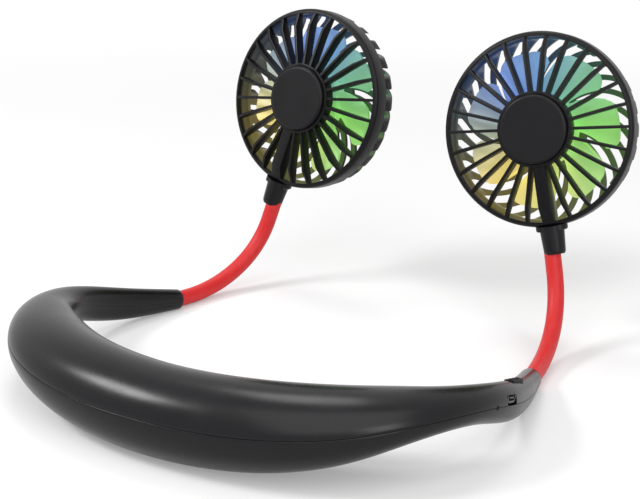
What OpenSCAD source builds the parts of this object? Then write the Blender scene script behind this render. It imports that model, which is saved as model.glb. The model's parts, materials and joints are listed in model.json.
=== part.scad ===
// Electric neck fan: a horseshoe neck band, two bendable hoses and two caged fan heads.
// Millimetres, +Z up. The origin is on the resting plane, under the middle of the band's back.
// +Y runs from the back of the neck to the arm tips, and +X is the side of the charging socket.

/* [Neck band] */
// Half of the distance between the two arms, on their centrelines
band_spread = 94.4; // [86:0.1:104]
// Reach of the centreline, from the back of the neck to the arm tips
band_reach = 119; // [106:1:132]
// Thickness of the band at the back of the neck
back_t = 34; // [31:0.5:38]
// Height of the band at the back of the neck
back_h = 32; // [30:0.5:36]
// Height of the arch under each arm
arch_h = 16; // [8:0.5:20]
// Diameter of each arm at its tip
tip_d = 8.6; // [8.4:0.1:10]
// Wall of the two band shells
shell_wall = 1.8; // [1.4:0.1:2.2]
// Width and depth of the groove along the parting line
seam_w = 0.3; // [0.2:0.05:0.5]
// Depth that the resting faces are cut into the round underside
seat_cut = 0.25; // [0.15:0.05:0.4]

/* [Band fittings] */
// Diameter of a battery cell
cell_d = 18.3; // [16:0.1:18.6]
// Length of a battery cell
cell_l = 50; // [40:1:52]
// Diameter of the screw bosses in the band
boss_d = 4.6; // [4.4:0.1:5.2]
// Diameter of the band screws' thread
screw_d = 2; // [1.6:0.1:2.2]
// Diameter of the band screws' heads
screw_head_d = 3.6; // [3.2:0.1:4]
// Length of the band screws under their heads
screw_l = 7; // [5:0.5:8]
// Length of the control board
board_l = 26; // [22:1:28]
// Width of the control board
board_w = 5.4; // [4.8:0.1:5.6]
// Thickness of the control board and of the light boards
board_t = 1; // [0.6:0.1:1.2]
// Width of the charging socket
socket_w = 7.5; // [7:0.1:8.4]
// Height of the charging socket
socket_h = 2.6; // [2.4:0.1:3]
// Depth of the charging socket
socket_deep = 5.6; // [5:0.1:6]
// Length of the speed button
button_l = 12; // [9:0.5:14]
// Width of the speed button
button_w = 4; // [3.2:0.1:4.4]
// Travel of the speed button
button_travel = 0.5; // [0.3:0.1:0.6]
// Diameter of the charge light
charge_light_d = 1.6; // [1.2:0.1:2]
// Diameter of the wires that run round the band
wire_d = 1.8; // [1.2:0.1:2]

/* [Hoses] */
// Outer diameter of the hoses
hose_d = 6.8; // [6.4:0.1:7]
// Bore of the hoses
hose_bore = 2.4; // [1.6:0.1:3]
// Gap between the ball of one hose link and the cup of the next
cup_gap = 0.25; // [0.2:0.05:0.3]
// Straight length of hose before its first bend and after its last one
hose_lead = 6.5; // [5:0.5:8]
// Depth that a hose is pushed into its arm and its collar
hose_grip = 6; // [4:0.5:7]
// Length of the ferrule crimped to the end of a hose inside its arm
ferrule_l = 8; // [5:0.5:10]
// Diameter of that ferrule
ferrule_d = 3.7; // [3.3:0.1:3.9]

/* [Fan heads] */
// Outer diameter of a head
head_d = 79; // [76:0.5:84]
// Width of the front rim round the head's opening
rim_w = 2; // [1.6:0.1:4]
// Depth of the front rim
rim_deep = 7.2; // [6:0.1:8]
// Depth of the rear grille behind the front rim
rear_deep = 9.2; // [8:0.1:11]
// Wall of the rear grille
rear_wall = 1.8; // [1.4:0.1:2.2]
// Radius of the rear grille's rounded edge
rear_round = 4.6; // [3:0.1:6]
// Diameter of the hub ring
hub_d = 30.6; // [29.6:0.2:34]
// Width of the hub ring's face round the hub cap
cap_edge = 1.3; // [1:0.1:3]
// Height of the hub cap's face above the opening
cap_rise = 5.3; // [4.6:0.1:7]
// Number of places round the hub: one for the wide strut and the others for the spokes
spokes = 26; // [20:2:30]
// Thickness of a spoke
spoke_t = 1.2; // [0.8:0.1:1.6]
// Width of the wide strut that carries the wires
strut_w = 5; // [4:0.1:6.5]
// Number of curved slats in the rear grille
slats = 26; // [20:2:30]
// Width of a slat
slat_w = 2.2; // [1.6:0.1:2.6]
// Radius of the slats' curve
slat_curve_r = 21.5; // [20:0.5:26]
// Angle between a slat's inner end and the radius
slat_lean = 20; // [10:1:26]
// Length of the collar outside the head
collar_l = 11.3; // [9:0.1:16]
// Diameter of the collar where it meets the head
collar_top_d = 10.2; // [9.8:0.1:12]
// Diameter of the collar at its free end
collar_end_d = 8.8; // [8.6:0.1:9.8]
// Width of the collar's lip
lip_w = 13.1; // [12:0.1:16]

/* [Impeller and motor] */
// Number of blades
blades = 7; // [5:1:9]
// Clearance between the blade tips and the head's opening
tip_gap = 5.5; // [3:0.1:7]
// Clearance between the edges of the impeller's cup and of the hub ring
hub_step = 0.5; // [0.1:0.1:1.3]
// Depth of the blades from front to back
blade_deep = 6.4; // [4:0.1:7]
// Thickness of a blade
blade_t = 1.2; // [0.8:0.1:1.6]
// Radius of the blades' rounded tip corners
blade_round = 6; // [3:0.5:8]
// Width of the ring of the light board
light_ring_w = 4.3; // [3:0.1:5]
// Clearance between the motor and the light board
motor_gap = 0.5; // [0.3:0.1:1]
// Length of the motor
motor_l = 7.6; // [6:0.1:9]
// Diameter of the motor shaft
shaft_d = 2; // [1.5:0.1:3]
// Clearance of the shaft in its bush
shaft_gap = 0.04; // [0.02:0.01:0.08]
// Diameter of the motor bush
bush_d = 4.4; // [4:0.1:6]

/* [Hidden] */
$fn = 64;

opening_d = head_d - 2 * rim_w;
cap_d = hub_d - 2 * cap_edge;
stem_l = head_d / 2 + collar_l;
impeller_d = opening_d - 2 * tip_gap;
impeller_hub_d = hub_d - 2 * hub_step;
hub_wall = 1.2;
board_seat = 0.7;
ring_out_d = hub_d - 2 * hub_wall + 2 * board_seat;
ring_in_d = ring_out_d - 2 * light_ring_w;
motor_d = ring_in_d - 2 * motor_gap;

left = -1;
right = 1;
black = "#242327";
red = "#e8403c";
steel = "#c4c6c9";
fit = 0.1;
hair = 0.01;

// Shape of the band, station by station from the middle of the back to an arm tip, as shares of its sizes
path_x = [0, 0.37, 0.64, 0.805, 0.92, 0.985, 1, 0.965, 0.885];
path_y = [0, 0.036, 0.122, 0.224, 0.33, 0.458, 0.6, 0.773, 1];
path_lift = [-0.03, 0.065, 0.38, 0.83, 1, 0.855, 0.45, 0.09, 0];
path_t = [0.99, 1.02, 0.995, 0.83, 0.58, 0.405, 0.33, 0.29];
path_h = [1, 0.975, 0.825, 0.57, 0.425, 0.415, 0.47, 0.44];
stations = len(path_x) - 1;
rows_per_station = 3;
outer_sides = 14;
inner_sides = 7;
// Angle of the parting line above the section's middle, at the back and at the tips
part_angle_back = 12.2;
part_angle_tip = -1.2;
tip_round = 0.5;

function lerp(a, b, t) = a + (b - a) * t;
function unit(v) = v / norm(v);
function reversed(list) = [for (i = [len(list) - 1:-1:0]) list[i]];

// Half height and half thickness of the band at each station; the tips are round
half_h = [for (i = [0:stations]) i < stations ? back_h / 2 * path_h[i] : tip_d / 2];
half_t = [for (i = [0:stations]) i < stations ? back_t / 2 * path_t[i] : tip_d / 2];
back_shift = band_reach * (path_y[1] - path_y[0]) / 3;
// One row a station: x, y, z, half thickness and half height
band_rows = [for (i = [0:stations])
    [band_spread * path_x[i], band_reach * path_y[i] - back_shift,
     arch_h * path_lift[i] + half_h[i] - seat_cut, half_t[i], half_h[i]]];

function row_at(i) =
    i < 0 ? [-band_rows[-i][0], band_rows[-i][1], band_rows[-i][2], band_rows[-i][3], band_rows[-i][4]]
    : i > stations ? 2 * band_rows[stations] - band_rows[stations - 1]
    : band_rows[i];

// The band's section at u stations from the back: a uniform cubic B-spline through the tip
function section(u) =
    let (i = min(floor(u), stations - 1), t = u - i, s = 1 - t)
    (s * s * s * row_at(i - 1) + (3 * t * t * t - 6 * t * t + 4) * row_at(i)
     + (3 * s * s * s - 6 * s * s + 4) * row_at(i + 1) + t * t * t * row_at(i + 2)) / 6;
function centre_of(row) = [row[0], row[1], row[2]];
function tangent(u) =
    unit(centre_of(section(min(u + hair, stations))) - centre_of(section(max(u - hair, 0))));
function outward(u) = let (t = tangent(u)) unit([t[1], -t[0], 0]);
function upward(u) = cross(outward(u), tangent(u));
function part_angle(u) = lerp(part_angle_back, part_angle_tip, u / stations);
function part_height(u) = section(u)[4] * sin(part_angle(u));

// A point of the band's surface, moved in by a depth; a negative u lies on the left arm
function band_point(u, angle, inset) =
    let (v = abs(u), row = section(v),
         p = centre_of(row) + (row[3] - inset) * cos(angle) * outward(v)
             + (row[4] - inset) * sin(angle) * upward(v))
    u < 0 ? [-p[0], p[1], p[2]] : p;

// The inner wall follows the outer one as far as the hose's seat, and from there on the hose
hose_seat_u = stations - hose_grip / norm(centre_of(section(stations)) - centre_of(section(stations - 1)));
function inner_point(u, angle) =
    let (v = abs(u), t = tangent(v), c = centre_of(section(v)),
         r = (hose_d / 2 + fit) / cos(90 / inner_sides),
         p = hose_from + tangent_in * ((c - hose_from) * t) / (tangent_in * t)
             + r * (cos(angle) * outward(v) + sin(angle) * upward(v)))
    v < hose_seat_u ? band_point(u, angle, shell_wall) : u < 0 ? [-p[0], p[1], p[2]] : p;

// Outline of one shell at u: up is 1 for the upper shell and -1 for the lower one
function shell_ring(u, up, edge) =
    let (a = part_angle(abs(u)), groove = atan(seam_w / section(abs(u))[3]),
         from = up > 0 ? a : -a, span = 180 - 2 * from,
         ring = concat(
             [band_point(u, up * from, edge + seam_w)],
             [for (j = [0:outer_sides])
                 band_point(u, up * (from + groove + (span - 2 * groove) * j / outer_sides), edge)],
             [band_point(u, up * (from + span), edge + seam_w)],
             [for (j = [inner_sides:-1:0]) inner_point(u, up * (from + span * j / inner_sides))]))
    up > 0 ? ring : reversed(ring);

// Rib across the lower shell, sunk into its wall
module rib(u) {
    t = section(u)[3] - shell_wall / 2;
    h = section(u)[4] - shell_wall / 2;
    a = part_angle(u);
    on_band(u) rotate([90, 0, 0]) linear_extrude(rib_t, center = true)
        polygon([for (j = [0:2 * inner_sides])
            let (b = lerp(-a, 180 + a, j / (2 * inner_sides))) [t * cos(b), -h * sin(b) - rib_gap]]);
}

function band_steps() =
    concat([-stations, -stations + 2 * hair, -hose_seat_u, -hose_seat_u + hair],
           [for (i = [-stations * rows_per_station + 1:stations * rows_per_station - 1]) i / rows_per_station],
           [hose_seat_u - hair, hose_seat_u, stations - 2 * hair, stations]);

// Closed solid through a list of rings with the same number of points
module skin(rings) {
    m = len(rings[0]);
    n = len(rings);
    points = [for (ring = rings) each ring];
    walls = [for (i = [0:n - 2], j = [0:m - 1])
        let (k = (j + 1) % m)
        each [[i * m + j, i * m + k, (i + 1) * m + k], [i * m + j, (i + 1) * m + k, (i + 1) * m + j]]];
    caps = [for (end = [0, n - 1], j = [0:m / 2 - 1])
        let (a = end * m + j, b = end * m + m - 1 - j)
        each end == 0 ? [[a, b, a + 1], [a + 1, b, b - 1]] : [[a, a + 1, b], [a + 1, b - 1, b]]];
    polyhedron(points, concat(walls, [for (f = caps) if (f[0] != f[1] && f[1] != f[2] && f[0] != f[2]) f]),
               convexity = 10);
}

// Frame on the band at u: x points out of the neck, y to the arm tip and z up the section
module on_band(u) {
    c = centre_of(section(u));
    x = outward(u);
    y = tangent(u);
    z = upward(u);
    multmatrix([[x[0], y[0], z[0], c[0]], [x[1], y[1], z[1], c[1]], [x[2], y[2], z[2], c[2]], [0, 0, 0, 1]])
        children();
}

module on_side(side) {
    mirror([side < 0 ? 1 : 0, 0, 0]) children();
}

// z runs from a to b
module along(a, b) {
    d = b - a;
    translate(a) rotate([0, acos(d[2] / norm(d)), atan2(d[1], d[0])]) children();
}

module stadium(length, width) {
    square([width, length - width], center = true);
    for (end = [-1, 1]) translate([0, end * (length - width) / 2]) circle(d = width);
}

// Battery cells lie end to end along the thick back
cell_from_u = 0.12;
cell_to_u = 1.7;
cell_axis = unit(centre_of(section(cell_to_u)) - centre_of(section(cell_from_u)));
cell_start = centre_of(section(cell_from_u));
rib_us = [0.4, 1.2];
rib_t = 1.6;
rib_gap = 0.4;

module cell_solid(grow) {
    along(cell_start, cell_start + cell_axis) translate([0, 0, -grow])
        cylinder(d = cell_d + 2 * grow, h = cell_l + 2 * grow);
}

module cell_pocket() {
    cell_solid(fit);
    along(cell_start, cell_start + cell_axis) translate([-cell_d, -cell_d / 2 - fit, -fit])
        cube([cell_d, cell_d + 2 * fit, cell_l + 2 * fit]);
}

// Screws close the band from below
screw_us = [2.9, 4.5];
screw_head_h = 1.3;
screw_floor = 1.6;
screw_slot_l = 2;
screw_slot_w = 0.5;
screw_slot_h = 0.7;

module screw_head_room(u) {
    on_band(u) translate([0, 0, -section(u)[4] - shell_wall])
        cylinder(d = screw_head_d + 2 * fit, h = 2 * shell_wall + screw_floor);
}

module screw_shank_room(u) {
    on_band(u) translate([0, 0, -section(u)[4]])
        cylinder(d = screw_d + fit, h = shell_wall + screw_floor + screw_l + fit);
}

module boss(u, low, high) {
    on_band(u) translate([0, 0, low]) cylinder(d = boss_d, h = high - low);
}

// Control board, socket and switch share one frame on the right arm
board_u = 6.1;
board_x = -0.5;
board_z = 0.5;
board_y = 0;
socket_y = -6.6;
button_y = 7.6;
socket_room = 0.5;
socket_sheet = 0.35;
socket_way_x = 2.6;
chip_w = 3.6;
chip_l = 3;
chip_h = 1.2;
switch_w = 3.6;
switch_l = 5.2;
switch_h = 2;
switch_stem_d = 1.6;
light_u = 5.18;
light_deep = 3.1;

module on_board() {
    on_band(board_u) translate([board_x, board_y, board_z]) children();
}

socket_face = section(board_u)[3] - board_x - 0.5;
button_rise = 0.35;
button_top = section(board_u)[4] - board_z + button_rise;
button_foot = 3.9;
button_ledge = 0.7;
button_ledge_t = 0.6;
button_crown_r = 6;
mark_gap = 3.4;
mark_d = 1.3;
mark_h = 0.25;
stem_rest = 0.3;

module socket_outline(grow) {
    w = socket_w / 2 + grow;
    h = socket_h + grow;
    narrow = 1.1;
    polygon([[-w, h], [-w, h / 2], [-w + narrow, -grow], [w - narrow, -grow], [w, h / 2], [w, h]]);
}

// Way of the button through the upper shell, with room below for its ledge
module button_way() {
    on_board() translate([-board_x, button_y, button_foot - button_travel - 4 * fit]) {
        linear_extrude(back_h) stadium(button_l + 4 * fit, button_w + 4 * fit);
        linear_extrude(button_travel + button_ledge_t + 5 * fit)
            stadium(button_l + 2 * button_ledge + 4 * fit, button_w / 2 + 4 * fit);
    }
}

module band_cuts() {
    on_band(light_u) translate([0, 0, part_height(light_u)]) rotate([0, 90, 0])
        cylinder(d = charge_light_d + fit, h = back_t);
    translate([-band_spread - back_t, -back_t, -back_h]) cube([2 * (band_spread + back_t), 2 * band_reach, back_h]);
}

module upper_shell() {
    color(black) difference() {
        union() {
            skin([for (u = band_steps()) shell_ring(u, 1, abs(u) == stations ? tip_round : 0)]);
            for (side = [left, right], u = screw_us)
                on_side(side) boss(u, part_height(u), section(u)[4] - shell_wall / 2);
        }
        band_cuts();
        for (side = [left, right], u = screw_us) on_side(side) screw_shank_room(u);
        on_board() translate([0, socket_y, board_t / 2]) rotate([90, 0, 90])
            translate([-socket_w / 2 - socket_room, part_height(board_u) - board_z - board_t / 2 + fit, socket_way_x])
            cube([socket_w + 2 * socket_room, socket_h + socket_room + 3 * fit, back_t]);
        button_way();
    }
}

module lower_shell() {
    color(black) difference() {
        union() {
            skin([for (u = band_steps()) shell_ring(u, -1, abs(u) == stations ? tip_round : 0)]);
            for (side = [left, right]) on_side(side) {
                for (u = screw_us) boss(u, -section(u)[4] + shell_wall / 2, part_height(u));
                for (u = rib_us) rib(u);
            }
        }
        band_cuts();
        for (side = [left, right]) on_side(side) {
            for (u = screw_us) {
                screw_head_room(u);
                screw_shank_room(u);
            }
            cell_pocket();
        }
    }
}

module band_screws() {
    color(steel) for (side = [left, right], u = screw_us) on_side(side) on_band(u)
        translate([0, 0, -section(u)[4] + shell_wall + screw_floor]) {
            cylinder(d = screw_d, h = screw_l);
            difference() {
                translate([0, 0, -screw_head_h]) cylinder(d = screw_head_d, h = screw_head_h);
                translate([0, 0, -screw_head_h]) linear_extrude(screw_slot_h) {
                    square([screw_slot_l, screw_slot_w], center = true);
                    square([screw_slot_w, screw_slot_l], center = true);
                }
            }
        }
}

module battery_cells() {
    color("seagreen") for (side = [left, right]) on_side(side) cell_solid(0);
}

module control_board() {
    color("darkgreen") on_board() translate([0, 0, -board_t / 2]) {
        translate([-board_w / 2, -board_l / 2, 0]) cube([board_w, board_l, board_t]);
        translate([-chip_w / 2, -chip_l / 2, board_t]) cube([chip_w, chip_l, chip_h]);
    }
}

module charging_socket() {
    color(steel) on_board() translate([0, socket_y, board_t / 2]) rotate([90, 0, 90])
        translate([0, 0, socket_face - socket_deep]) difference() {
            linear_extrude(socket_deep) socket_outline(0);
            translate([0, socket_sheet, socket_sheet * 2]) linear_extrude(socket_deep) difference() {
                socket_outline(-socket_sheet);
                translate([-socket_w / 4, socket_h * 0.45]) square([socket_w / 2, socket_h * 0.2]);
            }
        }
}

module speed_button() {
    color("#2e2d31") on_board() translate([-board_x, button_y, 0]) {
        translate([0, 0, button_foot]) linear_extrude(button_ledge_t)
            stadium(button_l + 2 * button_ledge, button_w / 2);
        intersection() {
            translate([0, 0, button_foot + button_ledge_t]) linear_extrude(button_top) stadium(button_l, button_w);
            translate([0, 0, button_top - button_crown_r]) rotate([90, 0, 0])
                cylinder(r = button_crown_r, h = 2 * button_l, center = true);
        }
        for (i = [-1:1]) translate([0, i * mark_gap, button_top - mark_h]) cylinder(d = mark_d, h = 2 * mark_h);
        translate([0, 0, button_foot - stem_rest]) cylinder(d = switch_stem_d, h = stem_rest + fit);
    }
}

module button_switch() {
    color("#55565a") on_board() translate([-board_x, button_y, board_t / 2]) {
        translate([-switch_w / 2, -switch_l / 2, 0]) cube([switch_w, switch_l, switch_h]);
        cylinder(d = switch_stem_d, h = button_foot - stem_rest - board_t / 2 - button_travel - fit);
    }
}

module charge_light() {
    color("white", 0.6) on_band(light_u)
        translate([section(light_u)[3] - fit - light_deep, 0, part_height(light_u)])
        rotate([0, 90, 0]) cylinder(d = charge_light_d, h = light_deep);
}

// Wires run round the inner side from the control board to the left arm, and on to the right hose
wire_sides = 8;
wire_angle = 28;
wire_inset = shell_wall + wire_d * 0.8;
wire_steps = 56;
ferrule_u = 7.56;
board_from_u = 5.35;
board_to_u = 6.86;
function wire_point(u) =
    let (v = abs(u), aside = max(0, min(1, (ferrule_u - 0.15 - v) / 1.2)),
         p = lerp(centre_of(section(v)), band_point(v, 180 - wire_angle, wire_inset), aside))
    u < 0 ? [-p[0], p[1], p[2]] : p;

module wire(us) {
    n = len(us);
    pts = [for (u = us) wire_point(u)];
    skin([for (i = [0:n - 1])
        let (t = unit(pts[min(i + 1, n - 1)] - pts[max(i - 1, 0)]), a = unit(cross([0, 0, 1], t)), b = cross(t, a))
        [for (j = [0:wire_sides - 1])
            pts[i] + wire_d / 2 * (cos(360 * j / wire_sides) * a + sin(360 * j / wire_sides) * b)]]);
}

module band_wiring() {
    color("#8a2b2b") {
        wire([for (i = [0:wire_steps]) lerp(-ferrule_u, board_from_u, i / wire_steps)]);
        wire([for (i = [0:4]) lerp(board_to_u, ferrule_u, i / 4)]);
    }
}

// Hoses: one curve from the arm tip to the collar, cut into rigid links that turn on each other
links = 7;
hinges = links + 1;
hose_yaw = 10;
hose_tilt = 1.8;
bend_reach_start = 17;
bend_reach_end = 22;
hose_steps = 40;
head_x = 55.9;
head_y = 174.9;
head_z = 85.8;
head_yaw = 5.5;
head_tilt = 12.2;
head_roll = 14.6;
stem_z = -rim_deep / 2;

function turn_x(v, a) = [v[0], v[1] * cos(a) - v[2] * sin(a), v[1] * sin(a) + v[2] * cos(a)];
function turn_z(v, a) = [v[0] * cos(a) - v[1] * sin(a), v[0] * sin(a) + v[1] * cos(a), v[2]];
function head_dir(v) = turn_z(turn_x(turn_z(v, head_roll), 90 - head_tilt), head_yaw);
head_centre = [head_x, head_y, head_z];

tip_row = section(stations);
hose_from = centre_of(tip_row);
tangent_in = unit([-sin(hose_yaw) * cos(hose_tilt), cos(hose_yaw) * cos(hose_tilt), -sin(hose_tilt)]);
hose_to = head_centre + head_dir([0, -stem_l, stem_z]);
hose_out = head_dir([0, 1, 0]);

// The hose leaves its arm and enters its collar straight, and bends in between
bend_from = hose_from + hose_lead * tangent_in;
bend_to = hose_to - hose_lead * hose_out;
function bend_curve(t) =
    let (s = 1 - t)
    s * s * s * bend_from + 3 * s * s * t * (bend_from + bend_reach_start * tangent_in)
    + 3 * s * t * t * (bend_to - bend_reach_end * hose_out) + t * t * t * bend_to;
bend_marks = [for (i = 0, d = 0; i <= hose_steps;
    i = i + 1, d = d + norm(bend_curve(i / hose_steps) - bend_curve((i - 1) / hose_steps))) [d, i / hose_steps]];
bend_length = bend_marks[hose_steps][0];
hinge_points = [for (k = [0:links]) bend_curve(lookup(bend_length * k / links, bend_marks))];

// Section of a link: a tube with a ball at its foot and a cup at its head
module link_profile(length, ball, cup) {
    r = hose_d / 2;
    difference() {
        union() {
            square([r, length]);
            if (ball) intersection() {
                circle(r);
                translate([0, -r]) square([r, r]);
            }
        }
        translate([0, -2 * r]) square([hose_bore / 2, length + 4 * r]);
        if (cup) translate([0, length]) circle(r + cup_gap);
    }
}

module link(a, b, ball, cup) {
    color(red) along(a, b) rotate_extrude() link_profile(norm(b - a), ball, cup);
}

module hose_link(side, k) {
    on_side(side) link(hinge_points[k - 1], hinge_points[k], true, true);
}

module hose_root(side) {
    on_side(side) link(hose_from - hose_grip * tangent_in, hose_from + hose_lead * tangent_in, false, true);
}

module hose_end(side) {
    on_side(side) link(hinge_points[links], hinge_points[links] + (hose_lead + hose_grip) * hose_out, true, false);
}

crimp_w = 1.2;
crimp_deep = 0.25;

// A ferrule leans to the middle of the arm and is cut square to its hose
module hose_ferrule(side) {
    from = hose_from - hose_grip * tangent_in;
    color(steel) on_side(side) difference() {
        along(from, centre_of(section(ferrule_u))) difference() {
            translate([0, 0, -crimp_w]) cylinder(d = ferrule_d, h = ferrule_l + crimp_w);
            translate([0, 0, -2 * crimp_w]) cylinder(d = hose_bore, h = ferrule_l + 3 * crimp_w);
            translate([0, 0, (ferrule_l - crimp_w) / 2]) difference() {
                cylinder(d = 2 * ferrule_d, h = crimp_w);
                translate([0, 0, -1]) cylinder(d = ferrule_d - 2 * crimp_deep, h = crimp_w + 2);
            }
        }
        along(from, hose_from) cylinder(d = 2 * hose_d, h = 2 * crimp_w);
    }
}

// Heads are modelled face up: z points out of the grille and the stem runs to -y
module on_head(side) {
    on_side(side) translate(head_centre) rotate([90 - head_tilt, 0, head_yaw]) rotate([0, 0, head_roll])
        mirror([side < 0 ? 1 : 0, 0, 0]) children();
}

rim_round = rim_w - fit;
hub_face = cap_rise - 1.9;
hub_back = -1.6;
plate_t = 1.2;
plate_z = 0.6;
spoke_kink_r = opening_d / 2 - 5.6;
spoke_kink_z = 2.9;
spoke_end_z = -0.6;
spoke_foot = -2.6;
rear_r = head_d / 2 - 0.9;
rear_hub_r = impeller_hub_d / 2 + 1;
back_z = -rim_deep - rear_deep;

module rim_profile() {
    translate([opening_d / 2, -rim_deep]) square([(head_d - opening_d) / 2, rim_deep - rim_round]);
    translate([head_d / 2 - rim_round, -rim_round]) intersection() {
        circle(rim_round);
        square(rim_round);
    }
    translate([opening_d / 2, -rim_round]) square([(head_d - opening_d) / 2 - rim_round, rim_round]);
}

// Side view of a spoke or the strut: deep at the hub, kinked down into the rim
module spoke_outline(inner_r, foot) {
    polygon([
        [inner_r, hub_back], [inner_r, hub_face - 0.3], [spoke_kink_r, spoke_kink_z],
        [opening_d / 2 + 1, spoke_end_z],
        [opening_d / 2 + 1, foot], [spoke_kink_r - 3, foot + 0.9],
    ]);
}

module front_grille() {
    color(black) {
        difference() {
            union() {
                rotate_extrude() rim_profile();
                translate([0, 0, hub_back]) cylinder(d = hub_d, h = hub_face - hub_back);
                for (i = [1:spokes - 1]) rotate([0, 0, -90 + i * 360 / spokes]) rotate([90, 0, 0])
                    translate([0, 0, -spoke_t / 2]) linear_extrude(spoke_t)
                    spoke_outline(hub_d / 2 - hub_wall / 2, spoke_foot);
                rotate([0, 0, -90]) rotate([90, 0, 0]) translate([0, 0, -strut_w / 2]) linear_extrude(strut_w)
                    spoke_outline(hub_d / 2 - hub_wall / 2, -rim_deep + 1);
            }
            translate([0, 0, plate_z + plate_t]) cylinder(d = hub_d - 2 * hub_wall, h = cap_rise);
            translate([0, 0, hub_back - 1]) cylinder(d = hub_d - 2 * hub_wall, h = plate_z - hub_back + 1);
            translate([0, 0, hub_back - 1]) cylinder(d = bush_d + 1, h = cap_rise);
        }
    }
}

// The cap clips into the hub ring on a short skirt
cap_round = 1.2;
cap_t = cap_rise - hub_face + 0.5;

module hub_cap() {
    color(black) rotate_extrude() {
        translate([0, cap_rise - 1.2]) square([cap_d / 2 - cap_round, 1.2]);
        translate([0, cap_rise - cap_round - 1]) square([cap_d / 2, 1]);
        translate([cap_d / 2 - cap_round, cap_rise - cap_round]) intersection() {
            circle(cap_round);
            square(cap_round);
        }
        translate([cap_d / 2 - 3, plate_z + plate_t]) square([1.4, cap_rise - plate_z - plate_t - 1]);
    }
}

module motor() {
    color("#9a9ca0") difference() {
        union() {
            translate([0, 0, plate_z - motor_l]) cylinder(d = motor_d, h = motor_l);
            translate([0, 0, plate_z - motor_l - 0.8]) cylinder(d = bush_d + 2.4, h = 0.8);
        }
        translate([0, 0, plate_z - motor_l - 1]) cylinder(d = bush_d, h = motor_l + 2);
    }
}

module motor_bush() {
    color("#b8923a") difference() {
        translate([0, 0, plate_z - motor_l - 0.8]) cylinder(d = bush_d, h = motor_l + 0.8);
        translate([0, 0, plate_z - motor_l - 1]) cylinder(d = shaft_d + 2 * shaft_gap, h = motor_l + 2);
    }
}

boss_top = plate_z - motor_l - 0.8 - 0.3;
impeller_back = boss_top - 3.4;
impeller_front = impeller_back + blade_deep - 0.2;
shaft_boss_t = 2;
blade_mid = impeller_back + blade_deep / 2 - 0.3;

module motor_shaft() {
    color(steel) translate([0, 0, impeller_back + 1.2]) cylinder(d = shaft_d, h = plate_z - 0.4 - impeller_back - 1.2);
}

// Light board round the motor, on the back of the hub ring
module light_board() {
    color("#e9e9e4") translate([0, 0, hub_back - board_t]) difference() {
        cylinder(d = ring_out_d, h = board_t);
        translate([0, 0, -1]) cylinder(d = ring_in_d, h = board_t + 2);
    }
}

light_angles = [10, 120, 235];
light_size = 2.2;
light_h = 1;

module lights() {
    for (i = [0:2]) color(["#64e070", "#5a8cf0", "#f0dc50"][i]) rotate([0, 0, light_angles[i]])
        translate([(ring_in_d + ring_out_d) / 4 - light_size / 2, -light_size / 2, hub_back - board_t - light_h])
        cube([light_size, light_size, light_h]);
}

// A blade: swept, pitched and rounded at its tip corners
blade_rows = 5;
blade_cols = 6;
root_half = 22;
tip_half = 20.5;
blade_sweep = -16;
blade_rest = 13;
blade_camber = 0.8;
root_r = impeller_hub_d / 2 - 0.5;
tip_r = impeller_d / 2;

function tip_edge(w) =
    let (k = 1 - blade_round / (tip_r * sin(tip_half)), e = max(0, (abs(w) - k) / (1 - k)))
    tip_r - blade_round * (1 - sqrt(max(0, 1 - e * e * 0.96)));
function blade_point(s, w, side) =
    let (r = lerp(root_r, tip_edge(w), s), a = blade_sweep * s + w * lerp(root_half, tip_half, s),
         z = blade_mid + w * blade_deep / 2 * lerp(1, 0.8, s) + blade_camber * (1 - w * w) + side * blade_t / 2)
    [r * cos(a), r * sin(a), z];
function blade_ring(s) = concat(
    [for (j = [0:blade_cols]) blade_point(s, lerp(-1, 1, j / blade_cols), 1)],
    [for (j = [blade_cols:-1:0]) blade_point(s, lerp(-1, 1, j / blade_cols), -1)]);

module blade() {
    skin([for (i = [0:blade_rows]) blade_ring(i / blade_rows)]);
}

module impeller() {
    color("#dfe8e2", 0.6) difference() {
        union() {
            translate([0, 0, impeller_back]) cylinder(d = impeller_hub_d, h = impeller_front - impeller_back);
            for (i = [0:blades - 1]) rotate([0, 0, blade_rest + i * 360 / blades]) blade();
        }
        translate([0, 0, impeller_back + 1.2]) difference() {
            cylinder(d = impeller_hub_d - 2.4, h = blade_deep);
            translate([0, 0, -1]) cylinder(d = shaft_d + 2 * shaft_boss_t, h = boss_top - impeller_back - 0.2);
        }
        translate([0, 0, impeller_back + 1.2]) cylinder(d = shaft_d, h = blade_deep);
    }
}

// Dished rear cover
module dish_profile(r, z, round, wall_top) {
    translate([0, z]) square([r - round, wall_top - z]);
    translate([r - round, z + round]) square([round, wall_top - z - round]);
    translate([r - round, z + round]) intersection() {
        circle(round);
        translate([0, -round]) square(round);
    }
}

slat_centre = [rear_hub_r + 1, 0] + slat_curve_r * [cos(-90 - slat_lean), sin(-90 - slat_lean)];
slot_start = -rim_deep - 1.2;

// Space between two slats, seen from the front
module slot_outline() {
    intersection() {
        difference() {
            rotate(360 / slats) translate(slat_centre) circle(slat_curve_r - slat_w / 2);
            translate(slat_centre) circle(slat_curve_r + slat_w / 2);
        }
        difference() {
            circle(head_d / 2 + 2);
            circle(rear_hub_r + 1);
        }
    }
}

// Snap lug inside the front rim, on a foot from the wall of the cover
lug_t = 1.3;
lug_h = 2.4;
lug_gap = 0.2;
lug_angle = 12;

module lug_profile() {
    out_r = opening_d / 2 - lug_gap;
    wall_r = rear_r - rear_wall / 2;
    translate([out_r - lug_t, -rim_deep - rear_wall]) square([lug_t, rear_wall + lug_h]);
    translate([0, -rim_deep - rear_wall]) polygon([
        [out_r - lug_t / 2, 0], [wall_r, 0], [wall_r, rear_wall / 2], [out_r - lug_t / 2, rear_wall / 2],
    ]);
}

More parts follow.
